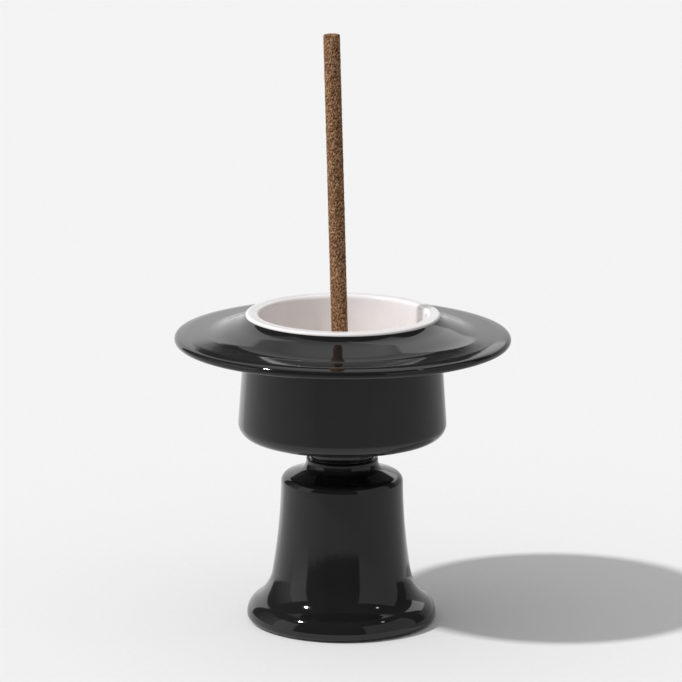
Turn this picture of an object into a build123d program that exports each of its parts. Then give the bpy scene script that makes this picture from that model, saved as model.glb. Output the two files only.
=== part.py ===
from build123d import *
import os
from math import cos, radians, sin, tan

# Incense stick holder: a glazed bell foot carries a brimmed bowl on its neck. A bolt ties the two together.
# A white liner drops into the bowl, and a loose brass socket on the liner floor holds the incense stick.
# Millimetres, +Z up. The origin is on the turning axis, at the surface that the holder stands on.

# Felt ring under the foot
pad_thickness = 1.2
pad_proud = 0.25
pad_margin = 1.2
pad_gap = 0.1

# Bell foot: a full rounded toe runs into a hollow flare, then up a slightly waisted wall to the shoulder
foot_radius = 25.75
foot_round = 1.4
toe_radius = 5.4
toe_turn_degrees = 55
flare_radius = 11.2
flare_turn_degrees = 45.5
bell_height = 39.95
shoulder_radius = 16.5
shoulder_round = 2.3
crown_rise = 2.35
crown_thickness = 6.0
neck_radius = 9.75
neck_length = 7.65
neck_fillet = 1.6
bell_wall = 3.4
standing_width = 7.4
hollow_fillet = 3.0

# Liner cup, which sets the mouth of the bowl
mouth_radius = 22.55
liner_wall = 1.4
liner_gap = 0.25
liner_bottom_thickness = 2.0
liner_bottom_round = 3.0
liner_inside_round = 2.4
liner_head_gap = 0.6
lip_thickness = 0.8
lip_round = 0.55
mouth_round = 1.2
draft_degrees = 3

# Brimmed bowl: inside its rounded edge the brim is dished, then sweeps up to the seat of the liner lip
bowl_height = 25.7
bowl_wall = 2.85
bowl_spread = 1.8
bowl_bottom_thickness = 5.5
bowl_bottom_round = 3.75
bowl_inside_round = 3.0
brim_radius = 45.35
brim_thickness = 2.4
brim_root_fillet = 1.5
brim_edge_turn_degrees = 168
level_radius = 15.4
level_turn_degrees = 11.5
dish_radius = 260.0
dish_turn_degrees = 1.0
sweep_rise = 5.05
seat_width = 2.0
seat_edge_round = 0.2

# Tie bolt, its nut and its washers
shank_radius = 3.0
shank_tip_chamfer = 0.6
head_radius = 6.0
head_height = 3.2
head_rim_height = 1.2
key_flats = 4.0
key_depth = 1.8
nut_flats = 10.0
nut_height = 5.0
nut_chamfer = 0.9
thread_show = 1.6
thread_gap = 0.05
bolt_gap = 0.35
washer_gap = 0.25
fibre_inset = 0.6
fibre_thickness = 1.0
clamp_side_gap = 1.1
clamp_thickness = 1.2
clamp_edge_round = 0.2
gasket_thickness = 1.0
gasket_inset = 0.7

# Incense stick and its socket
stick_radius = 2.3
stick_length = 95.0
stick_end_round = 0.25
stick_lean_degrees = 1.8
stick_gap = 0.3
stick_seat_gap = 0.1
socket_shift = -0.51
socket_radius = 9.0
socket_base_height = 2.2
socket_boss_radius = 5.2
socket_height = 11.0
socket_bottom_thickness = 2.0
socket_edge_round = 0.5
socket_mouth_chamfer = 0.4

# Heights of the stack, from the standing surface up
foot_base = pad_proud
bell_top = foot_base + bell_height
neck_base = bell_top + crown_rise
neck_top = neck_base + neck_length
ceiling = neck_base - crown_thickness
bowl_base = neck_top + gasket_thickness
bowl_floor = bowl_base + bowl_bottom_thickness
brim_under = bowl_base + bowl_height
brim_crest = brim_under + brim_thickness
seat = brim_crest + sweep_rise
lip_top = seat + lip_thickness
head_under = bowl_floor + fibre_thickness
head_top = head_under + head_height
liner_base = head_top + liner_head_gap
liner_floor = liner_base + liner_bottom_thickness
lower_fibre_base = ceiling - fibre_thickness
clamp_base = lower_fibre_base - clamp_thickness
nut_base = clamp_base - nut_height
bolt_end = nut_base - thread_show

# Radii that follow from the fits
draft = tan(radians(draft_degrees))
standing_radius = foot_radius - foot_round
hollow_base_radius = standing_radius - standing_width
hollow_top_radius = shoulder_radius - bell_wall
clamp_radius = hollow_top_radius - hollow_fillet - clamp_side_gap
fibre_radius = clamp_radius - fibre_inset
liner_radius = mouth_radius + liner_wall
bore_radius = liner_radius + liner_gap
lip_radius = bore_radius + seat_width
bowl_top_radius = bore_radius - (seat - brim_under) * draft + bowl_wall
bowl_base_radius = bowl_top_radius + bowl_spread
bowl_floor_radius = bore_radius - (seat - bowl_floor) * draft
liner_base_radius = liner_radius - (seat - liner_base) * draft
liner_floor_radius = mouth_radius - (lip_top - liner_floor) * draft
bolt_hole_radius = shank_radius + bolt_gap
washer_hole_radius = shank_radius + washer_gap
nut_hole_radius = shank_radius + thread_gap
stick_bore_radius = stick_radius + stick_gap
pad_inner_radius = hollow_base_radius + pad_margin
pad_outer_radius = standing_radius - pad_margin
brim_edge_radius = brim_thickness / 2
nut_corner_radius = nut_flats / 2 / cos(radians(30))
socket_waist_radius = socket_radius - socket_boss_radius


def round_corners(section, corners):
    """Fillets the corner of the section that lies nearest to each point, with the radius beside it."""
    for point, radius in corners:
        fillet(section.vertices().sort_by_distance(point)[0], radius)


# Felt ring
with BuildPart() as foot_pad:
    with BuildSketch():
        Circle(pad_outer_radius)
        Circle(pad_inner_radius, mode=Mode.SUBTRACT)
    extrude(amount=pad_thickness)

# Bell foot with its neck, open below, with a groove for the felt ring
with BuildPart() as bell_foot:
    with BuildSketch(Plane.XZ) as bell_section:
        with BuildLine():
            edge = JernArc((standing_radius, foot_base), (1, 0), foot_round, 90)
            toe = JernArc(edge @ 1, edge % 1, toe_radius, toe_turn_degrees)
            flare = JernArc(toe @ 1, toe % 1, flare_radius, -flare_turn_degrees)
            wall = TangentArc(flare @ 1, (shoulder_radius, bell_top), tangent=flare % 1)
            Polyline(
                wall @ 1,
                (neck_radius, neck_base),
                (neck_radius, neck_top),
                (bolt_hole_radius, neck_top),
                (bolt_hole_radius, ceiling),
                (hollow_top_radius, ceiling),
                (hollow_base_radius, foot_base),
                edge @ 0,
            )
        make_face()
        round_corners(
            bell_section,
            [
                ((shoulder_radius, bell_top), shoulder_round),
                ((neck_radius, neck_base), neck_fillet),
                ((hollow_top_radius, ceiling), hollow_fillet),
            ],
        )
    revolve(axis=Axis.Z)
    with BuildSketch(Plane.XY.offset(foot_base)):
        Circle(pad_outer_radius + pad_gap)
        Circle(pad_inner_radius - pad_gap, mode=Mode.SUBTRACT)
    extrude(amount=pad_thickness - pad_proud, mode=Mode.SUBTRACT)

# Soft ring between the neck and the bowl
with BuildPart() as neck_gasket:
    with BuildSketch(Plane.XY.offset(neck_top)):
        Circle(neck_radius - gasket_inset)
        Circle(washer_hole_radius, mode=Mode.SUBTRACT)
    extrude(amount=gasket_thickness)

# Bowl with the dished brim and the seat that the liner lip stands on
with BuildPart() as brim_bowl:
    with BuildSketch(Plane.XZ) as bowl_section:
        with BuildLine():
            under = Polyline(
                (bolt_hole_radius, bowl_base),
                (bowl_base_radius, bowl_base),
                (bowl_top_radius, brim_under),
                (brim_radius - brim_edge_radius, brim_under),
            )
            edge = JernArc(under @ 1, (1, 0), brim_edge_radius, brim_edge_turn_degrees)
            level = JernArc(edge @ 1, edge % 1, level_radius, level_turn_degrees)
            dish = JernArc(level @ 1, level % 1, dish_radius, -dish_turn_degrees)
            sweep_up = TangentArc(dish @ 1, (lip_radius, seat), tangent=dish % 1)
            Polyline(
                sweep_up @ 1,
                (bore_radius, seat),
                (bowl_floor_radius, bowl_floor),
                (bolt_hole_radius, bowl_floor),
                under @ 0,
            )
        make_face()
        round_corners(
            bowl_section,
            [
                ((bowl_base_radius, bowl_base), bowl_bottom_round),
                ((bowl_top_radius, brim_under), brim_root_fillet),
                ((lip_radius, seat), seat_edge_round),
                ((bowl_floor_radius, bowl_floor), bowl_inside_round),
            ],
        )
    revolve(axis=Axis.Z)

# Two equal soft washers, under the bolt head and above the clamp washer
with BuildPart() as fibre_washers:
    for washer_base in (bowl_floor, lower_fibre_base):
        with BuildSketch(Plane.XY.offset(washer_base)):
            Circle(fibre_radius)
            Circle(washer_hole_radius, mode=Mode.SUBTRACT)
        extrude(amount=fibre_thickness)

# Bolt with a low domed head and a hexagon key socket
with BuildPart() as tie_bolt:
    with BuildSketch(Plane.XZ):
        with BuildLine():
            dome = TangentArc((0, head_top), (head_radius, head_under + head_rim_height), tangent=(1, 0))
            Polyline(
                dome @ 1,
                (head_radius, head_under),
                (shank_radius, head_under),
                (shank_radius, bolt_end + shank_tip_chamfer),
                (shank_radius - shank_tip_chamfer, bolt_end),
                (0, bolt_end),
                dome @ 0,
            )
        make_face()
    revolve(axis=Axis.Z)
    with BuildSketch(Plane.XY.offset(head_top)):
        RegularPolygon(key_flats / 2, side_count=6, major_radius=False)
    extrude(amount=-key_depth, mode=Mode.SUBTRACT)

# Wide steel washer inside the bell
with BuildPart() as clamp_washer:
    with BuildSketch(Plane.XY.offset(clamp_base)):
        Circle(clamp_radius)
        Circle(washer_hole_radius, mode=Mode.SUBTRACT)
    extrude(amount=clamp_thickness)
    fillet(clamp_washer.edges().group_by(SortBy.LENGTH)[-1], clamp_edge_round)

# Hexagon nut, with its corners turned back at both ends
with BuildPart() as clamp_nut:
    with BuildSketch(Plane.XY.offset(nut_base)):
        RegularPolygon(nut_flats / 2, side_count=6, major_radius=False)
        Circle(nut_hole_radius, mode=Mode.SUBTRACT)
    extrude(amount=nut_height)
    with BuildSketch(Plane.XZ):
        with BuildLine():
            Polyline(
                (0, nut_base),
                (nut_corner_radius - nut_chamfer, nut_base),
                (nut_corner_radius, nut_base + nut_chamfer / 2),
                (nut_corner_radius, clamp_base - nut_chamfer / 2),
                (nut_corner_radius - nut_chamfer, clamp_base),
                (0, clamp_base),
                close=True,
            )
        make_face()
    revolve(axis=Axis.Z, mode=Mode.INTERSECT)

# Liner cup, whose lip stands on the seat of the bowl
with BuildPart() as liner_cup:
    with BuildSketch(Plane.XZ) as liner_section:
        with BuildLine():
            Polyline(
                (0, liner_base),
                (liner_base_radius, liner_base),
                (liner_radius, seat),
                (lip_radius, seat),
                (lip_radius, lip_top),
                (mouth_radius, lip_top),
                (liner_floor_radius, liner_floor),
                (0, liner_floor),
                close=True,
            )
        make_face()
        round_corners(
            liner_section,
            [
                ((liner_base_radius, liner_base), liner_bottom_round),
                ((lip_radius, lip_top), lip_round),
                ((mouth_radius, lip_top), mouth_round),
                ((liner_floor_radius, liner_floor), liner_inside_round),
            ],
        )
    revolve(axis=Axis.Z)

# Turned brass socket, loose on the liner floor and a little off the axis
socket_plane = Plane(origin=(socket_shift, 0, liner_floor), x_dir=(1, 0, 0), z_dir=(0, -1, 0))
with BuildPart() as stick_socket:
    with BuildSketch(socket_plane) as socket_section:
        with BuildLine():
            waist = JernArc((socket_radius, socket_base_height), (-1, 0), socket_waist_radius, -90)
            Polyline(
                waist @ 1,
                (socket_boss_radius, socket_height),
                (stick_bore_radius, socket_height),
                (stick_bore_radius, socket_bottom_thickness),
                (0, socket_bottom_thickness),
                (0, 0),
                (socket_radius, 0),
                waist @ 0,
            )
        make_face()
        round_corners(
            socket_section,
            [
                ((socket_radius, socket_base_height), socket_edge_round),
                ((socket_boss_radius, socket_height), socket_edge_round),
            ],
        )
        bore_mouth = socket_section.vertices().sort_by_distance((stick_bore_radius, socket_height))[0]
        chamfer(bore_mouth, socket_mouth_chamfer)
    revolve(axis=Axis((socket_shift, 0, 0), (0, 0, 1)))

# Incense stick, leaning inside the clearance of its bore and crossing the bore axis halfway down
lean = radians(stick_lean_degrees)
stick_axis = Vector(-sin(lean), 0, cos(lean))
bore_base = liner_floor + socket_bottom_thickness
bore_middle = Vector(socket_shift, 0, (bore_base + liner_floor + socket_height) / 2)
stick_base_height = bore_base + stick_seat_gap + stick_radius * sin(lean)
stick_foot = bore_middle - stick_axis * ((bore_middle.Z - stick_base_height) / cos(lean))
with BuildPart() as incense_stick:
    with BuildSketch(Plane(origin=stick_foot, x_dir=(cos(lean), 0, sin(lean)), z_dir=stick_axis)):
        Circle(stick_radius)
    extrude(amount=stick_length)
    fillet(incense_stick.edges().filter_by(GeomType.CIRCLE), stick_end_round)

# One file for each piece
pieces = {
    "foot_pad": foot_pad,
    "bell_foot": bell_foot,
    "neck_gasket": neck_gasket,
    "brim_bowl": brim_bowl,
    "fibre_washers": fibre_washers,
    "tie_bolt": tie_bolt,
    "clamp_washer": clamp_washer,
    "clamp_nut": clamp_nut,
    "liner_cup": liner_cup,
    "stick_socket": stick_socket,
    "incense_stick": incense_stick,
}
os.makedirs("parts", exist_ok=True)
for name, piece in pieces.items():
    piece.part.label = name
    export_step(piece.part, f"parts/{name}.step")
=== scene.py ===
from cmath import phase, rect
from math import ceil, copysign, cos, degrees, pi, radians, sin, tan

import bpy
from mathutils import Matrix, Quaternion, Vector, noise


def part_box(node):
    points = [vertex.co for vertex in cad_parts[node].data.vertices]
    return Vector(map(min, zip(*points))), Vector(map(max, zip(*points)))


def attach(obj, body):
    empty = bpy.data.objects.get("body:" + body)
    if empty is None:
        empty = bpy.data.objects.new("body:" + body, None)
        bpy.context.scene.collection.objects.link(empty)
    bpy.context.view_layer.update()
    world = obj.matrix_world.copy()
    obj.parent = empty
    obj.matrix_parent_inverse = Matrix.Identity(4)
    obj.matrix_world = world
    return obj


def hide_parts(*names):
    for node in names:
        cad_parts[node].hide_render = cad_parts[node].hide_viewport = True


# Looks of the incense stick holder. Metres, +Z up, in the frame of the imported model.
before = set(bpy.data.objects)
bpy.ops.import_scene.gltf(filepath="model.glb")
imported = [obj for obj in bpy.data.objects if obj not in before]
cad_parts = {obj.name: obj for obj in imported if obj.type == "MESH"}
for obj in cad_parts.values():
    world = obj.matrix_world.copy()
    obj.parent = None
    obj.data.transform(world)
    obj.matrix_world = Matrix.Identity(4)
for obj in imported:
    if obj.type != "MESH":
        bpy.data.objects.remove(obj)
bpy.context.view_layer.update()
mm = 0.001

# Boxes of the nodes that the outlines below are measured from
pad_low, pad_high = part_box("foot_pad")
foot_low, foot_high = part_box("bell_foot")
bowl_low, bowl_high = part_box("brim_bowl")
liner_low, liner_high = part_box("liner_cup")
socket_low, socket_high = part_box("stick_socket")
stick_low, stick_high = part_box("incense_stick")
bolt_low, bolt_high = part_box("tie_bolt")
nut_low, nut_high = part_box("clamp_nut")

# Bell foot
foot_round = 1.4 * mm
toe_radius = 5.4 * mm
toe_turn = radians(55)
flare_radius = 11.2 * mm
flare_turn = radians(45.5)
shoulder_radius = 16.5 * mm
shoulder_round = 2.3 * mm
crown_rise = 2.35 * mm
crown_thickness = 6.0 * mm
neck_radius = 9.75 * mm
neck_length = 7.65 * mm
neck_fillet = 2.7 * mm
neck_edge = 0.3 * mm
neck_rim_height = 2.5 * mm
waist_radius = 8.5 * mm
bell_wall = 3.4 * mm
hollow_fillet = 3.0 * mm
standing_width = 7.4 * mm
bolt_hole_radius = 3.35 * mm
pad_margin = 1.2 * mm
pad_edge_round = 0.2 * mm
groove_gap = 0.1 * mm
foot_base = foot_low.z
neck_top = foot_high.z
neck_base = neck_top - neck_length
bell_top = neck_base - crown_rise
ceiling = neck_base - crown_thickness
standing_radius = foot_high.x - foot_round
hollow_base_radius = standing_radius - standing_width
hollow_top_radius = shoulder_radius - bell_wall
pad_inner_radius = hollow_base_radius + pad_margin

# Brimmed bowl. From its edge the brim has a level rim, a shallow dish, a cone and a cove up to the seat.
bowl_height = 25.7 * mm
bowl_bottom_thickness = 5.5 * mm
bowl_bottom_round = 3.75 * mm
bowl_wall = 2.85 * mm
bowl_spread = 1.8 * mm
bowl_inside_round = 3.0 * mm
bore_radius = 24.2 * mm
draft = tan(radians(3))
brim_root_fillet = 1.5 * mm
brim_edge_radius = 1.2 * mm
brim_edge_turn = radians(168)
level_radius = 15.4 * mm
level_turn = radians(10.5)
dish_radius = 260.0 * mm
dish_turn = radians(1.0)
cone_fillet = 12.0 * mm
cone_turn = radians(20.0)
cove_radius = 29.31 * mm
seat_edge = 0.2 * mm
bowl_base = bowl_low.z
bowl_floor = bowl_base + bowl_bottom_thickness
brim_under = bowl_base + bowl_height
lip_radius = liner_high.x
seat = bowl_high.z
bowl_top_radius = bore_radius - (seat - brim_under) * draft + bowl_wall
bowl_base_radius = bowl_top_radius + bowl_spread
bowl_floor_radius = bore_radius - (seat - bowl_floor) * draft

# Liner cup
mouth_radius = 22.55 * mm
liner_radius = 23.95 * mm
liner_bottom_thickness = 2.0 * mm
liner_bottom_round = 3.0 * mm
liner_inside_round = 2.4 * mm
lip_round = 0.7 * mm
mouth_round = 1.2 * mm
liner_base = liner_low.z
liner_floor = liner_base + liner_bottom_thickness
lip_top = liner_high.z
liner_base_radius = liner_radius - (seat - liner_base) * draft
liner_floor_radius = mouth_radius - (lip_top - liner_floor) * draft

# Stick socket
socket_base_height = 2.2 * mm
socket_boss_radius = 5.2 * mm
socket_bore_radius = 2.6 * mm
socket_bottom_thickness = 2.0 * mm
socket_edge_round = 0.5 * mm
socket_chamfer = 0.4 * mm
socket_axis_x = (socket_low.x + socket_high.x) / 2
socket_radius = (socket_high.x - socket_low.x) / 2
socket_height = socket_high.z - socket_low.z
socket_waist_radius = socket_radius - socket_boss_radius
tool_mark_pitch = 0.45 * mm
tool_mark_depth = 0.012 * mm

# Incense stick, pressed from coarse paste. Broad flecks and sharp ones lie over each other.
stick_radius = 2.3 * mm
stick_end_round = 0.35 * mm
stick_twist = 0.16 / mm
fleck_width = 0.34 * mm
fleck_length = 0.5 * mm
fleck_depth = 0.22 * mm
broad_weight = 1.1
sharp_weight = 0.6
sharpness = 1.9
sharp_shift = Vector((7, 3, 5))
end_rag = 0.35 * mm
stick_lean = (stick_high.x - stick_low.x - 2 * stick_radius) / (stick_high.z - stick_low.z)
stick_foot = Vector((stick_high.x - stick_radius, 0, stick_low.z + stick_radius * stick_lean))
stick_top = Vector((stick_low.x + stick_radius, 0, stick_high.z - stick_radius * stick_lean))
stick_axis = (stick_top - stick_foot).normalized()
stick_across = Vector((stick_axis.z, 0, -stick_axis.x))
stick_length = (stick_top - stick_foot).length

# Tie bolt and nut
shank_radius = 3.0 * mm
shank_chamfer = 0.6 * mm
head_radius = 6.0 * mm
head_height = 3.2 * mm
head_rim_height = 1.2 * mm
head_edge_round = 0.2 * mm
key_flats = 4.0 * mm
key_depth = 1.8 * mm
key_mouth_radius = 2.6 * mm
thread_pitch = 1.0 * mm
thread_depth = 0.45 * mm
nut_flats = 10.0 * mm
nut_hole_radius = 3.05 * mm
nut_hole_chamfer = 0.3 * mm
nut_corner_chamfer = 0.9 * mm
nut_corner_drop = 0.45 * mm
head_under = bolt_high.z - head_height
nut_corner_radius = nut_flats / 2 / cos(pi / 6)

# Unevenness of hand-made ware. Without a set seed noise_vector would differ from run to run.
unevenness_seed = 1
ripple_size = 9.0 * mm
ripple_depth = 0.005 * mm
felt_fuzz_size = 0.6 * mm
felt_fuzz_depth = 0.07 * mm

# Mesh fineness
fine = 0.25 * mm
coarse = 0.7 * mm
socket_gap = 0.125 * mm
nut_gap = 0.125 * mm
thread_gap = 0.125 * mm
stick_gap = 0.135 * mm
on_axis = 0.01 * mm
widest_step = 6
fewest_steps = 3
turned_sides = 240
socket_sides = 120
stick_sides = 112
bolt_sides = 60
nut_sides = 120

# Camera and light
image_width = 682
focal_pixels = 4568
sensor_width = 36.0
camera_place = Vector((-0.46 * mm, -1199.4 * mm, 349.4 * mm))
camera_target = Vector((-0.46 * mm, 0.0, 77.27 * mm))
camera_roll = radians(0.27)
key_direction = Vector((-0.593, -0.208, 0.778))
key_strength = 2.1
side_direction = Vector((0.600, -0.190, 0.780))
side_strength = 0.03
sun_angle = radians(3.2)
white = (1.0, 1.0, 1.0, 1.0)
dome_left = 0.72
dome_right = 0.30
pale_level = 0.88

# The floor is one wide plane. What the glaze mirrors of it ends between two distances from the object.
floor_half = 3.0
sheet_from = 0.09
sheet_to = 0.15

# The studio as the glaze mirrors it, in cards. Each card covers those before it in studio_cards.
# A card lies between two angles across and two angles of elevation, in degrees, with soft edges.
# Across is the turn from the middle of the back, or for "side" the angle off the plane of symmetry.
# For "side" the front half counts on by half a turn. It starts where Y falls below overhead_front.
# The levels hold at the left and the right edge. Lean tips the lower and the upper edge.
studio_base = 0.11
studio_unevenness = radians(0.3)
studio_noise_size = 1 / 9
studio_noise_detail = 3.0
overhead_front = 0.12
overhead = dict(by="side", left=-29, right=28, low=33, high=88, soft=2.5, levels=(0.5, 1.15))
back_wall = dict(by="side", left=-17, right=15, low=18, high=51, soft=3, levels=(0.48, 0.55))
dark_gap = dict(by="turn", left=-30, right=30, low=11, high=29, soft=1.2, levels=(0.08, 0.05))
left_drop = dict(by="turn", left=-41, right=4, low=-90, high=66, lean=-1.35, soft=1.2, levels=(1.25, 0.88))
right_panel = dict(by="turn", left=3, right=48, low=-200, high=14.5, lean=2.3, soft=1.2, levels=(1.25, 1.45))
right_drop = dict(by="turn", left=0, right=60, low=-90, high=14, lean=0.2, soft=1.2, levels=(0.85, 0.26))
left_screen = dict(by="turn", left=-89, right=-52, low=-90, high=36, soft=2.5, levels=(0.5, 0.1))
left_card = dict(by="turn", left=-120, right=-89, low=-90, high=37, soft=2.5, levels=(0.85, 0.85))
right_card = dict(by="turn", left=79, right=150, low=-90, high=43, soft=1.5, levels=(0.48, 0.52))
ground_front = dict(by="side", left=120, right=240, low=-90, high=-2.5, soft=1, levels=(0.42, 0.44))
ground_left = dict(by="turn", left=-150, right=-38, low=-90, high=-3, soft=3, levels=(0.46, 0.88))
ground_right = dict(by="turn", left=38, right=150, low=-90, high=-3, soft=3, levels=(0.53, 0.45))
studio_cards = (
    overhead,
    back_wall,
    dark_gap,
    left_drop,
    right_panel,
    right_drop,
    left_screen,
    left_card,
    right_card,
    ground_front,
    ground_left,
    ground_right,
)


def arc(path, heading, radius, turn):
    """Adds an arc from the path's end along heading, turning left by turn. Returns the heading after it."""
    start = path[-1]
    centre = start + heading * 1j * copysign(radius, turn)
    steps = max(fewest_steps, ceil(abs(turn) * radius / fine), ceil(degrees(abs(turn)) / widest_step))
    for i in range(1, steps + 1):
        path.append(centre + (start - centre) * rect(1, turn * i / steps))
    return heading * rect(1, turn)


def arc_to(path, heading, end):
    """Adds the arc that leaves the path's end along heading and ends at end."""
    chord = end - path[-1]
    turn = 2 * phase(chord / heading)
    arc(path, heading, abs(chord) / 2 / sin(abs(turn) / 2), turn)


def short_of(path, end, room):
    """The points of a path that lie further than room from its end, as plain corners."""
    return [(point, 0) for point in path if abs(point - end) > room]


def rounded(corners):
    """The closed outline through the corners, each rounded with the radius beside it."""
    path = []
    for i, (point, radius) in enumerate(corners):
        before = corners[i - 1][0]
        after = corners[(i + 1) % len(corners)][0]
        if not radius:
            path.append(point)
            continue
        heading = (point - before) / abs(point - before)
        turn = phase((after - point) / heading)
        path.append(point - heading * radius * tan(abs(turn) / 2))
        arc(path, heading, radius, turn)
    return path


def spaced(path, gap, closed=True):
    """The outline with points added so that none are further apart than gap."""
    points = []
    ends = path[1:] + path[:1] if closed else path[1:]
    for start, end in zip(path, ends):
        steps = max(1, ceil(abs(end - start) / gap))
        points.extend(start + (end - start) * i / steps for i in range(steps))
    if not closed:
        points.append(path[-1])
    return points


def ring_angles(point, sides):
    """The angles at which a point of an outline is turned, only one where it lies on the axis."""
    count = 1 if point.real < on_axis else sides
    return [2 * pi * i / sides for i in range(count)]


def round_turn(angle, radius, height):
    """The plain place of a turned point."""
    return Vector((radius * cos(angle), radius * sin(angle), height))


def turned(name, path, sides, shape, closed=True):
    """A mesh turned from an outline of radius and height. An open outline starts and ends on the axis."""
    points, rings, faces = [], [], []
    for point in path:
        angles = ring_angles(point, sides)
        rings.append(range(len(points), len(points) + len(angles)))
        points.extend(shape(angle, point.real, point.imag) for angle in angles)
    nexts = rings[1:] + rings[:1] if closed else rings[1:]
    for low, high in zip(rings, nexts):
        for i in range(sides):
            j = (i + 1) % sides
            corners = [low[i % len(low)], low[j % len(low)], high[j % len(high)], high[i % len(high)]]
            faces.append(list(dict.fromkeys(corners)))
    mesh = bpy.data.meshes.new(name)
    mesh.from_pydata(points, [], faces)
    mesh.shade_smooth()
    piece = bpy.data.objects.new(name, mesh)
    bpy.context.scene.collection.objects.link(piece)
    return piece


def stands_for(piece, node, body, slot, *materials):
    """Puts a piece in the place of a CAD node."""
    for material in materials:
        piece.data.materials.append(material)
    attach(piece, body)
    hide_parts(node)


def hand_made(angle, radius, height):
    """A turned point with the slow ripple of hand-made glazed ware."""
    place = round_turn(angle, radius, height)
    return place + ripple_depth * noise.noise_vector(place / ripple_size)


def bell_outline():
    path = [complex(standing_radius, foot_base)]
    heading = arc(path, 1, foot_round, pi / 2)
    heading = arc(path, heading, toe_radius, toe_turn)
    heading = arc(path, heading, flare_radius, -flare_turn)
    shoulder = complex(shoulder_radius, bell_top)
    arc_to(path, heading, shoulder)
    corners = short_of(path, shoulder, 2 * shoulder_round)
    corners += [
        (shoulder, shoulder_round),
        (complex(neck_radius, neck_base), neck_fillet),
        (complex(neck_radius, neck_base + neck_rim_height), neck_edge),
        (complex(waist_radius, neck_base + neck_rim_height), neck_edge),
        (complex(neck_radius, neck_top), neck_edge),
        (complex(bolt_hole_radius, neck_top), 0),
        (complex(bolt_hole_radius, ceiling), 0),
        (complex(hollow_top_radius, ceiling), hollow_fillet),
        (complex(hollow_base_radius, foot_base), neck_edge),
        (complex(pad_inner_radius - groove_gap, foot_base), 0),
        (complex(pad_inner_radius - groove_gap, pad_high.z), 0),
        (complex(pad_high.x + groove_gap, pad_high.z), 0),
        (complex(pad_high.x + groove_gap, foot_base), 0),
    ]
    return spaced(rounded(corners), coarse)


def make_bell_foot(glaze, clay):
    """The bell, glazed outside and bare clay in its hollow."""
    outline = bell_outline()
    piece = turned("bell_foot_glazed", outline, turned_sides, hand_made)
    hollow_start = complex(bolt_hole_radius, ceiling)
    bare_from = next(i for i, point in enumerate(outline) if abs(point - hollow_start) < on_axis)
    for i, face in enumerate(piece.data.polygons):
        face.material_index = int(i >= bare_from * turned_sides)
    stands_for(piece, "bell_foot", "stand", "black_glaze", glaze, clay)


def bowl_outline():
    path = [complex(bowl_high.x - brim_edge_radius, brim_under)]
    heading = arc(path, 1, brim_edge_radius, brim_edge_turn)
    heading = arc(path, heading, level_radius, level_turn)
    heading = arc(path, heading, dish_radius, -dish_turn)
    heading = arc(path, heading, cone_fillet, -cone_turn)
    path.append(path[-1] + heading * (cove_radius - path[-1].real) / heading.real)
    seat_corner = complex(lip_radius, seat)
    arc_to(path, heading, seat_corner)
    corners = [
        (complex(bolt_hole_radius, bowl_base), 0),
        (complex(bowl_base_radius, bowl_base), bowl_bottom_round),
        (complex(bowl_top_radius, brim_under), brim_root_fillet),
    ]
    corners += short_of(path, seat_corner, 2 * seat_edge)
    corners += [
        (seat_corner, seat_edge),
        (complex(bore_radius, seat), seat_edge),
        (complex(bowl_floor_radius, bowl_floor), bowl_inside_round),
        (complex(bolt_hole_radius, bowl_floor), 0),
    ]
    return spaced(rounded(corners), coarse)


def make_brim_bowl(glaze):
    piece = turned("brim_bowl_glazed", bowl_outline(), turned_sides, hand_made)
    stands_for(piece, "brim_bowl", "stand", "black_glaze", glaze)


def liner_outline():
    corners = [
        (complex(0, liner_base), 0),
        (complex(liner_base_radius, liner_base), liner_bottom_round),
        (complex(liner_radius, seat), 0),
        (complex(lip_radius, seat), 0),
        (complex(lip_radius, lip_top), lip_round),
        (complex(mouth_radius, lip_top), mouth_round),
        (complex(liner_floor_radius, liner_floor), liner_inside_round),
        (complex(0, liner_floor), 0),
    ]
    return spaced(rounded(corners), coarse, closed=False)


def make_liner_cup(glaze):
    piece = turned("liner_cup_glazed", liner_outline(), turned_sides, hand_made, closed=False)
    stands_for(piece, "liner_cup", "liner", "white_glaze", glaze)


def socket_outline():
    curve = [complex(socket_radius, socket_base_height)]
    arc(curve, -1, socket_waist_radius, -pi / 2)
    corners = [
        (complex(0, 0), 0),
        (complex(socket_radius, 0), socket_chamfer / 2),
        (complex(socket_radius, socket_base_height), socket_edge_round),
    ]
    corners += short_of(curve[1:], curve[0], 2 * socket_edge_round)
    corners += [
        (complex(socket_boss_radius, socket_height), socket_edge_round),
        (complex(socket_bore_radius + socket_chamfer, socket_height), 0),
        (complex(socket_bore_radius, socket_height - socket_chamfer), 0),
        (complex(socket_bore_radius, socket_bottom_thickness), 0),
        (complex(0, socket_bottom_thickness), 0),
    ]
    return spaced(rounded(corners), socket_gap, closed=False)


def tool_marked(angle, radius, height):
    """A turned point of the socket, with the fine grooves that the turning tool left."""
    groove = cos(2 * pi * (radius + height) / tool_mark_pitch)
    place = round_turn(angle, radius + tool_mark_depth * groove * (radius > on_axis), height)
    return place + Vector((socket_axis_x, 0, socket_low.z))


def make_stick_socket(brass):
    piece = turned("stick_socket_turned", socket_outline(), socket_sides, tool_marked, closed=False)
    stands_for(piece, "stick_socket", "socket", "turned_brass", brass)


def paste_grain(angle, height):
    """How far the coarse paste stands out, from -1 to 1, in flecks that wind up round the stick."""
    turn = angle - stick_twist * height
    place = Vector((stick_radius * cos(turn), stick_radius * sin(turn), height * fleck_width / fleck_length))
    broad = noise.noise(place / fleck_width)
    sharp = noise.noise(place * sharpness / fleck_width + sharp_shift)
    return max(-1.0, min(1.0, broad_weight * broad + sharp_weight * sharp))


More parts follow.
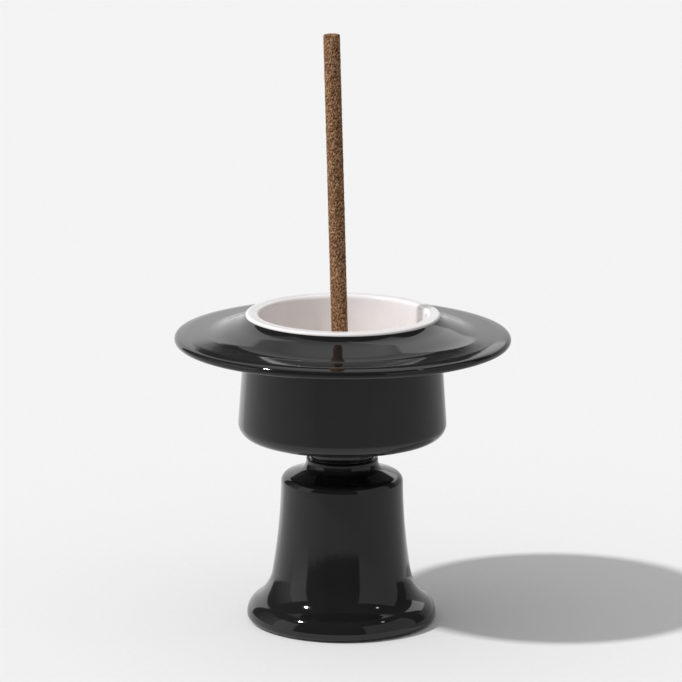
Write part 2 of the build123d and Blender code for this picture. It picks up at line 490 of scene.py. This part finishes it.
def pressed(angle, radius, height):
    """A turned point of the leaning stick, with its grain and its ragged top end."""
    sunk = (paste_grain(angle, height) - 1) / 2
    out = radius + min(1.0, radius / stick_radius) * fleck_depth * sunk
    ragged = end_rag * sunk if height > stick_length - on_axis else 0
    place = stick_foot + stick_axis * (height + ragged) + stick_across * out * cos(angle)
    return place + Vector((0, out * sin(angle), 0))


def stick_outline():
    corners = [
        (complex(0, 0), 0),
        (complex(stick_radius, 0), stick_end_round),
        (complex(stick_radius, stick_length), stick_end_round),
        (complex(0, stick_length), 0),
    ]
    return spaced(rounded(corners), stick_gap, closed=False)


def make_incense_stick(paste):
    """The stick, which carries its grain as an attribute for the colour, which paints shade into its sunk
    places.
    """
    outline = stick_outline()
    piece = turned("incense_stick_pressed", outline, stick_sides, pressed, closed=False)
    grains = []
    for point in outline:
        grains.extend(paste_grain(angle, point.imag) for angle in ring_angles(point, stick_sides))
    grain_layer = piece.data.attributes.new("grain", "FLOAT", "POINT")
    grain_layer.data.foreach_set("value", grains)
    stands_for(piece, "incense_stick", "stick", "incense_paste", paste)


def felted(angle, radius, height):
    """A turned point of the felt ring, pushed about by its fibres but not below the floor."""
    place = round_turn(angle, radius, height)
    moved = place + felt_fuzz_depth * noise.noise_vector(place / felt_fuzz_size)
    moved.z = max(moved.z, 0)
    return moved


def make_foot_pad(felt):
    corners = [
        (complex(pad_inner_radius, pad_low.z), pad_edge_round),
        (complex(pad_high.x, pad_low.z), pad_edge_round),
        (complex(pad_high.x, pad_high.z), pad_edge_round),
        (complex(pad_inner_radius, pad_high.z), pad_edge_round),
    ]
    piece = turned("foot_pad_felt", spaced(rounded(corners), fine), turned_sides, felted)
    stands_for(piece, "foot_pad", "stand", "felt", felt)


def hexagon(angle, flats):
    """Distance from the middle of a hexagon to its side, with a corner at angle 0."""
    return flats / 2 / cos(angle % (pi / 3) - pi / 6)


def bolt_outline():
    dome_rise = head_height - head_rim_height
    dome_radius = (head_radius ** 2 + dome_rise ** 2) / 2 / dome_rise
    dome_turn = pi / 2 - phase(complex(head_radius, dome_radius - dome_rise))
    dome = [complex(head_radius, head_under + head_rim_height)]
    arc(dome, rect(1, pi - dome_turn), dome_radius, dome_turn)
    key_top = bolt_high.z - key_flats ** 2 / 8 / dome_radius
    key_floor = bolt_high.z - key_depth
    corners = [
        (complex(0, bolt_low.z), 0),
        (complex(shank_radius - shank_chamfer, bolt_low.z), 0),
        (complex(shank_radius, bolt_low.z + shank_chamfer), 0),
        (complex(shank_radius, head_under), 0),
        (complex(head_radius, head_under), head_edge_round),
    ]
    corners += [(point, 0) for point in dome if point.real > key_mouth_radius]
    corners += [
        (complex(key_flats / 2, key_top), 0),
        (complex(key_flats / 2, key_floor), 0),
        (complex(0, key_floor), 0),
    ]
    return spaced(rounded(corners), thread_gap, closed=False)


def bolt_shape(angle, radius, height):
    """A turned point of the bolt, with the thread on its shank and the hexagon in its head."""
    if height < head_under - on_axis and radius > shank_radius - shank_chamfer - on_axis:
        rise = (height / thread_pitch - angle / 2 / pi) % 1
        radius -= thread_depth * abs(2 * rise - 1)
    if height > head_under + on_axis and radius < key_flats / 2 + on_axis:
        radius *= hexagon(angle, key_flats) / (key_flats / 2)
    return round_turn(angle, radius, height)


def make_tie_bolt(steel):
    piece = turned("tie_bolt_threaded", bolt_outline(), bolt_sides, bolt_shape, closed=False)
    stands_for(piece, "tie_bolt", "stand", "plated_steel", steel)


def nut_shape(angle, radius, height):
    """A turned point of the nut, cut back to its six flats."""
    return round_turn(angle, min(radius, hexagon(angle, nut_flats)), height)


def make_clamp_nut(steel):
    face_radius = nut_corner_radius - nut_corner_chamfer
    hole_mouth_radius = nut_hole_radius + nut_hole_chamfer
    corners = [
        (complex(hole_mouth_radius, nut_low.z), 0),
        (complex(face_radius, nut_low.z), 0),
        (complex(nut_corner_radius, nut_low.z + nut_corner_drop), 0),
        (complex(nut_corner_radius, nut_high.z - nut_corner_drop), 0),
        (complex(face_radius, nut_high.z), 0),
        (complex(hole_mouth_radius, nut_high.z), 0),
        (complex(nut_hole_radius, nut_high.z - nut_hole_chamfer), 0),
        (complex(nut_hole_radius, nut_low.z + nut_hole_chamfer), 0),
    ]
    piece = turned("clamp_nut_hexagon", spaced(rounded(corners), nut_gap), nut_sides, nut_shape)
    stands_for(piece, "clamp_nut", "stand", "plated_steel", steel)


def node(tree, kind, inputs=None, **settings):
    """A shader node. Each input is a value, or a socket to link from."""
    made = tree.nodes.new("ShaderNode" + kind)
    for key, value in settings.items():
        setattr(made, key, value)
    for key, value in (inputs or {}).items():
        if isinstance(value, bpy.types.NodeSocket):
            tree.links.new(value, made.inputs[key])
        else:
            made.inputs[key].default_value = value
    return made


def new_material(name, **sockets):
    """A material with one Principled shader, and its node tree and shader."""
    material = bpy.data.materials.new(name)
    material.use_nodes = True
    tree = material.node_tree
    shader = tree.nodes["Principled BSDF"]
    for key, value in sockets.items():
        shader.inputs[key.replace("_", " ")].default_value = value
    return material, tree, shader


def place_of(tree):
    """The place on the piece, in metres."""
    return node(tree, "TexCoord").outputs["Object"]


def cloud(tree, place, size, detail=2.0, roughness=0.5):
    """Noise from 0 to 1 whose blotches are about as wide as size."""
    inputs = {"Vector": place, "Scale": 1 / size, "Detail": detail, "Roughness": roughness}
    return node(tree, "TexNoise", inputs).outputs["Fac"]


def spread(tree, value, low, high, from_low=0.3, from_high=0.7):
    """A value moved from one range to another. The default range to move from is that of most noise."""
    inputs = {"Value": value, "From Min": from_low, "From Max": from_high, "To Min": low, "To Max": high}
    return node(tree, "MapRange", inputs).outputs["Result"]


def step(tree, value, low, high):
    """Rises smoothly from 0 to 1 between low and high, or falls where low is above high."""
    inputs = {"Value": value, "From Min": min(low, high), "From Max": max(low, high)}
    inputs.update({"To Min": float(low > high), "To Max": float(low < high)})
    return node(tree, "MapRange", inputs, interpolation_type="SMOOTHSTEP").outputs["Result"]


def product(tree, first, *others):
    """The product of several values."""
    for other in others:
        first = node(tree, "Math", {0: first, 1: other}, operation="MULTIPLY").outputs[0]
    return first


def total(tree, first, *others):
    """The sum of several values."""
    for other in others:
        first = node(tree, "Math", {0: first, 1: other}, operation="ADD").outputs[0]
    return first


def colours(tree, value, *stops):
    """A colour ramp. Each stop is a position and a colour."""
    ramp = node(tree, "ValToRGB", {"Fac": value})
    elements = ramp.color_ramp.elements
    while len(elements) < len(stops):
        elements.new(1.0)
    for element, (position, colour) in zip(elements, stops):
        element.position = position
        element.color = (*colour, 1.0)
    return ramp.outputs["Color"]


def bump(tree, shader, height, depth, below=None):
    """Raises the surface by height, from 0 to 1, times depth, over the bump below. Returns the normal."""
    inputs = {"Height": height, "Distance": depth, "Strength": 1.0}
    if below:
        inputs["Normal"] = below
    normal = node(tree, "Bump", inputs).outputs["Normal"]
    tree.links.new(normal, shader.inputs["Normal"])
    return normal


def black_glaze():
    material, tree, shader = new_material("black_glaze_look", IOR=1.5)
    cool_black = (0.0080, 0.0080, 0.0084)
    warm_black = (0.0105, 0.0100, 0.0100)
    place = place_of(tree)
    pooled = cloud(tree, place, size=7 * mm)
    smear = cloud(tree, place, size=4 * mm, detail=5.0, roughness=0.6)
    peel = cloud(tree, place, size=1.6 * mm, detail=1.0)
    pit_gap = 5 * mm
    pit = node(tree, "TexVoronoi", {"Vector": place, "Scale": 1 / pit_gap}).outputs["Distance"]
    pit = spread(tree, pit, low=0, high=1, from_low=0.02, from_high=0.05)
    tree.links.new(colours(tree, pooled, (0.3, cool_black), (0.7, warm_black)), shader.inputs["Base Color"])
    tree.links.new(spread(tree, smear, low=0.03, high=0.07), shader.inputs["Roughness"])
    peeled = bump(tree, shader, peel, depth=0.004 * mm)
    bump(tree, shader, pit, depth=0.03 * mm, below=peeled)
    return material


def bare_clay():
    material, tree, shader = new_material("bare_clay_look", Roughness=0.85)
    dark_grog = (0.035, 0.026, 0.021)
    brown_grog = (0.075, 0.058, 0.046)
    pale_grog = (0.13, 0.1, 0.08)
    grog = cloud(tree, place_of(tree), size=0.7 * mm, detail=6.0, roughness=0.7)
    colour = colours(tree, grog, (0.3, dark_grog), (0.6, brown_grog), (0.8, pale_grog))
    tree.links.new(colour, shader.inputs["Base Color"])
    bump(tree, shader, grog, depth=0.12 * mm)
    return material


def white_glaze():
    material, tree, shader = new_material("white_glaze_look", IOR=1.5)
    pink_white = (0.90, 0.865, 0.87)
    pale_white = (0.93, 0.905, 0.905)
    place = place_of(tree)
    pooled = cloud(tree, place, size=6 * mm)
    smear = cloud(tree, place, size=4 * mm, detail=5.0, roughness=0.6)
    peel = cloud(tree, place, size=1.8 * mm, detail=1.0)
    tree.links.new(colours(tree, pooled, (0.3, pink_white), (0.7, pale_white)), shader.inputs["Base Color"])
    tree.links.new(spread(tree, smear, low=0.10, high=0.2), shader.inputs["Roughness"])
    bump(tree, shader, peel, depth=0.006 * mm)
    return material


def turned_brass():
    material, tree, shader = new_material("turned_brass_look", Metallic=1.0)
    brown_brass = (0.46, 0.28, 0.10)
    plain_brass = (0.72, 0.50, 0.22)
    bright_brass = (0.78, 0.58, 0.30)
    place = place_of(tree)
    stain = cloud(tree, place, size=3 * mm, detail=5.0, roughness=0.65)
    brushed = cloud(tree, place, size=0.25 * mm, detail=3.0)
    colour = colours(tree, stain, (0.3, brown_brass), (0.55, plain_brass), (0.8, bright_brass))
    tree.links.new(colour, shader.inputs["Base Color"])
    tree.links.new(spread(tree, stain, low=0.45, high=0.22), shader.inputs["Roughness"])
    bump(tree, shader, brushed, depth=0.006 * mm)
    return material


def plated_steel():
    material, tree, shader = new_material("plated_steel_look", Metallic=1.0)
    dull_zinc = (0.44, 0.44, 0.46)
    bright_zinc = (0.64, 0.64, 0.66)
    place = place_of(tree)
    dull = cloud(tree, place, size=2.5 * mm, detail=5.0, roughness=0.65)
    brushed = cloud(tree, place, size=0.2 * mm, detail=3.0)
    tree.links.new(colours(tree, dull, (0.3, dull_zinc), (0.7, bright_zinc)), shader.inputs["Base Color"])
    tree.links.new(spread(tree, dull, low=0.5, high=0.28), shader.inputs["Roughness"])
    bump(tree, shader, brushed, depth=0.005 * mm)
    return material


def red_fibre():
    material, tree, shader = new_material("red_fibre_look", Roughness=0.75)
    dark_red = (0.2, 0.05, 0.035)
    pale_red = (0.36, 0.115, 0.08)
    pulp = cloud(tree, place_of(tree), size=0.5 * mm, detail=6.0, roughness=0.7)
    tree.links.new(colours(tree, pulp, (0.3, dark_red), (0.7, pale_red)), shader.inputs["Base Color"])
    bump(tree, shader, pulp, depth=0.03 * mm)
    return material


def gasket_rubber():
    material, tree, shader = new_material("gasket_rubber_look")
    clean_rubber = (0.016, 0.016, 0.017)
    bloomed_rubber = (0.034, 0.034, 0.034)
    bloom = cloud(tree, place_of(tree), size=1.2 * mm, detail=6.0, roughness=0.7)
    colour = colours(tree, bloom, (0.3, clean_rubber), (0.75, bloomed_rubber))
    tree.links.new(colour, shader.inputs["Base Color"])
    tree.links.new(spread(tree, bloom, low=0.5, high=0.75), shader.inputs["Roughness"])
    bump(tree, shader, bloom, depth=0.02 * mm)
    return material


def felt():
    material, tree, shader = new_material("felt_look", Roughness=0.95, Sheen_Weight=0.4, Sheen_Roughness=0.5)
    dark_fibre = (0.025, 0.025, 0.028)
    grey_fibre = (0.075, 0.075, 0.08)
    fibres = cloud(tree, place_of(tree), size=0.35 * mm, detail=8.0, roughness=0.75)
    tree.links.new(colours(tree, fibres, (0.3, dark_fibre), (0.7, grey_fibre)), shader.inputs["Base Color"])
    bump(tree, shader, fibres, depth=0.2 * mm)
    return material


def incense_paste():
    material, tree, shader = new_material("incense_paste_look", Roughness=0.9, Specular_IOR_Level=0.2)
    pit_shade_and_dark_speck_brown = (0.03, 0.013, 0.006)
    dark_brown = (0.15, 0.070, 0.031)
    mid_brown = (0.36, 0.195, 0.100)
    pale_brown = (0.66, 0.44, 0.26)
    # Painted shade: the colour follows the grain, so sunk paste is darker in its pits and raised paste
    # lighter, over the powder's own specks of colour.
    grain = node(tree, "Attribute", attribute_name="grain").outputs["Fac"]
    powder = cloud(tree, place_of(tree), size=0.3 * mm, detail=4.0, roughness=0.7)
    tone = total(tree, grain, spread(tree, powder, low=-0.4, high=0.4))
    tone = spread(tree, tone, low=0, high=1, from_low=-0.9, from_high=0.9)
    stops = ((0.0, pit_shade_and_dark_speck_brown), (0.35, dark_brown), (0.65, mid_brown), (1.0, pale_brown))
    tree.links.new(colours(tree, tone, *stops), shader.inputs["Base Color"])
    bump(tree, shader, powder, depth=0.06 * mm)
    return material


def floor_paper():
    """White paper, clear from below, and beyond the sheet clear for all but the camera."""
    material, tree, shader = new_material("floor_paper_look", Roughness=0.95, Specular_IOR_Level=0.1)
    dark_paper = (0.865, 0.865, 0.865)
    light_paper = (0.885, 0.885, 0.885)
    place = place_of(tree)
    fibre = cloud(tree, place, size=1.5 * mm, detail=3.0)
    tree.links.new(colours(tree, fibre, (0.3, dark_paper), (0.7, light_paper)), shader.inputs["Base Color"])
    reach = node(tree, "VectorMath", {0: place}, operation="LENGTH").outputs["Value"]
    seen = node(tree, "LightPath").outputs["Is Camera Ray"]
    unseen = spread(tree, seen, low=1.0, high=0.0, from_low=0.0, from_high=1.0)
    beyond = product(tree, step(tree, reach, sheet_from, sheet_to), unseen)
    below = node(tree, "NewGeometry").outputs["Backfacing"]
    open_ground = node(tree, "Math", {0: beyond, 1: below}, operation="MAXIMUM").outputs[0]
    clear = node(tree, "BsdfTransparent", {"Color": white})
    mixed = node(tree, "MixShader", {0: open_ground, 1: shader.outputs[0], 2: clear.outputs[0]})
    tree.links.new(mixed.outputs[0], tree.nodes["Material Output"].inputs["Surface"])
    return material


def repaint(name, material):
    """Gives a CAD node that keeps its shape a better material."""
    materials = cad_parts[name].data.materials
    materials.clear()
    materials.append(material)


def make_floor():
    corners = [
        (-floor_half, -floor_half, 0),
        (floor_half, -floor_half, 0),
        (floor_half, floor_half, 0),
        (-floor_half, floor_half, 0),
    ]
    mesh = bpy.data.meshes.new("floor")
    mesh.from_pydata(corners, [], [(0, 1, 2, 3)])
    mesh.materials.append(floor_paper())
    floor = bpy.data.objects.new("floor", mesh)
    bpy.context.scene.collection.objects.link(floor)


def make_sun(name, direction, strength):
    lamp = bpy.data.lights.new(name, "SUN")
    lamp.energy = strength
    lamp.angle = sun_angle
    sun = bpy.data.objects.new(name, lamp)
    sun.rotation_mode = "QUATERNION"
    sun.rotation_quaternion = direction.to_track_quat("Z", "Y")
    bpy.context.scene.collection.objects.link(sun)


def make_camera():
    data = bpy.data.cameras.new("camera")
    data.sensor_width = sensor_width
    data.lens = focal_pixels * sensor_width / image_width
    camera = bpy.data.objects.new("camera", data)
    camera.location = camera_place
    camera.rotation_mode = "QUATERNION"
    level_view = (camera_target - camera_place).to_track_quat("-Z", "Y")
    camera.rotation_quaternion = level_view @ Quaternion((0, 0, 1), camera_roll)
    bpy.context.scene.collection.objects.link(camera)
    bpy.context.scene.camera = camera


def card_over(tree, below, across, elevation, card):
    """The level below, covered where a card of the studio stands in front of it."""
    left, right, low, high, soft = (radians(card[edge]) for edge in ("left", "right", "low", "high", "soft"))
    height = elevation
    if "lean" in card:
        height = total(tree, elevation, product(tree, total(tree, across, -left), -card["lean"]))
    cover = product(
        tree,
        step(tree, across, left - soft, left + soft),
        step(tree, across, right + soft, right - soft),
        step(tree, height, low - soft, low + soft),
        step(tree, height, high + soft, high - soft),
    )
    level = spread(tree, across, *card["levels"], from_low=left, from_high=right)
    return node(tree, "Mix", {"Factor": cover, "A": below, "B": level}, data_type="FLOAT").outputs["Result"]


def studio_level(tree):
    """How bright the studio looks by direction."""
    direction = node(tree, "TexCoord").outputs["Generated"]
    axes = node(tree, "SeparateXYZ", {0: direction}).outputs
    front = node(tree, "Math", {0: axes["Y"], 1: overhead_front}, operation="LESS_THAN").outputs[0]
    side = node(tree, "Math", {0: axes["X"]}, operation="ARCSINE").outputs[0]
    across = {
        "turn": node(tree, "Math", {0: axes["X"], 1: axes["Y"]}, operation="ARCTAN2").outputs[0],
        "side": total(tree, side, product(tree, front, pi)),
    }
    rise = node(tree, "Math", {0: axes["Z"]}, operation="ARCSINE").outputs[0]
    uneven = cloud(tree, direction, size=studio_noise_size, detail=studio_noise_detail)
    elevation = total(tree, rise, spread(tree, uneven, low=-studio_unevenness, high=studio_unevenness))
    level = studio_base
    for card in studio_cards:
        level = card_over(tree, level, across[card["by"]], elevation, card)
    return level


def make_world():
    """A dome that lights the object, the studio that it mirrors and the pale ground that the camera sees."""
    world = bpy.data.worlds.new("studio")
    bpy.context.scene.world = world
    world.use_nodes = True
    world.cycles.sampling_method = "NONE"
    tree = world.node_tree
    ray = node(tree, "LightPath").outputs
    axes = node(tree, "SeparateXYZ", {0: node(tree, "TexCoord").outputs["Generated"]}).outputs
    dome_level = spread(tree, axes["X"], dome_left, dome_right, from_low=-1.0, from_high=1.0)
    dome = tree.nodes["Background"]
    dome.inputs["Color"].default_value = white
    tree.links.new(dome_level, dome.inputs["Strength"])
    studio = node(tree, "Background", {"Color": white, "Strength": studio_level(tree)})
    pale = node(tree, "Background", {"Color": white, "Strength": pale_level})
    lit = node(tree, "MixShader", {0: ray["Is Glossy Ray"], 1: dome.outputs[0], 2: studio.outputs[0]})
    seen = node(tree, "MixShader", {0: ray["Is Camera Ray"], 1: lit.outputs[0], 2: pale.outputs[0]})
    tree.links.new(seen.outputs[0], tree.nodes["World Output"].inputs["Surface"])


noise.seed_set(unevenness_seed)
glaze = black_glaze()
steel = plated_steel()
make_bell_foot(glaze, bare_clay())
make_brim_bowl(glaze)
make_liner_cup(white_glaze())
make_stick_socket(turned_brass())
make_incense_stick(incense_paste())
make_foot_pad(felt())
make_tie_bolt(steel)
make_clamp_nut(steel)
repaint("clamp_washer", steel)
repaint("fibre_washers", red_fibre())
repaint("neck_gasket", gasket_rubber())
make_floor()
make_world()
make_sun("key", key_direction, key_strength)
make_sun("side", side_direction, side_strength)
make_camera()
bpy.context.scene.view_settings.view_transform = "Standard"
